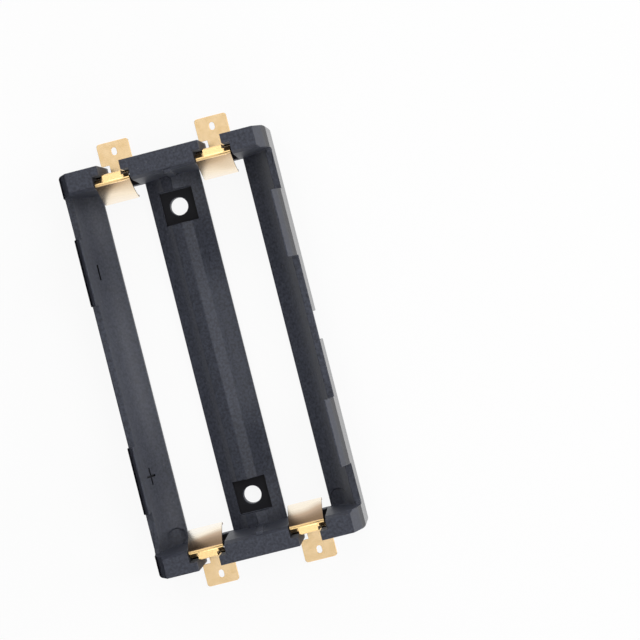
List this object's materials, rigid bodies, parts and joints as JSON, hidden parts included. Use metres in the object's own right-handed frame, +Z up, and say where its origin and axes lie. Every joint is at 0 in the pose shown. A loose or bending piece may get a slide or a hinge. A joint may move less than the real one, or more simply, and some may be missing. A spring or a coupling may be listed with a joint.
{
  "type": "cylindrical cell holder",
  "caption": "Low moulded holder with open side-by-side bays for cylindrical cells, folded leaf spring contacts and flat solder tabs for surface mounting.",
  "frame": {"origin": "centre of the footprint, on the board face under the housing", "axes": "+Y along the cells, +X across the two bays, +Z up from the board"},
  "size_m": [0.0406, 0.0874, 0.015],
  "materials": {
    "housing_plastic": "fine satin moulded black plastic, glass-filled, slightly blue-grey",
    "contact_gold": "thin gold flash on rolled spring sheet, satin on the tabs, bright on the fold"
  },
  "bodies": {
    "root": {"housing": "housing_plastic", "contact_rear_left": "contact_gold", "contact_rear_right": "contact_gold", "contact_front_left": "contact_gold", "contact_front_right": "contact_gold"}
  },
  "joints": []
}
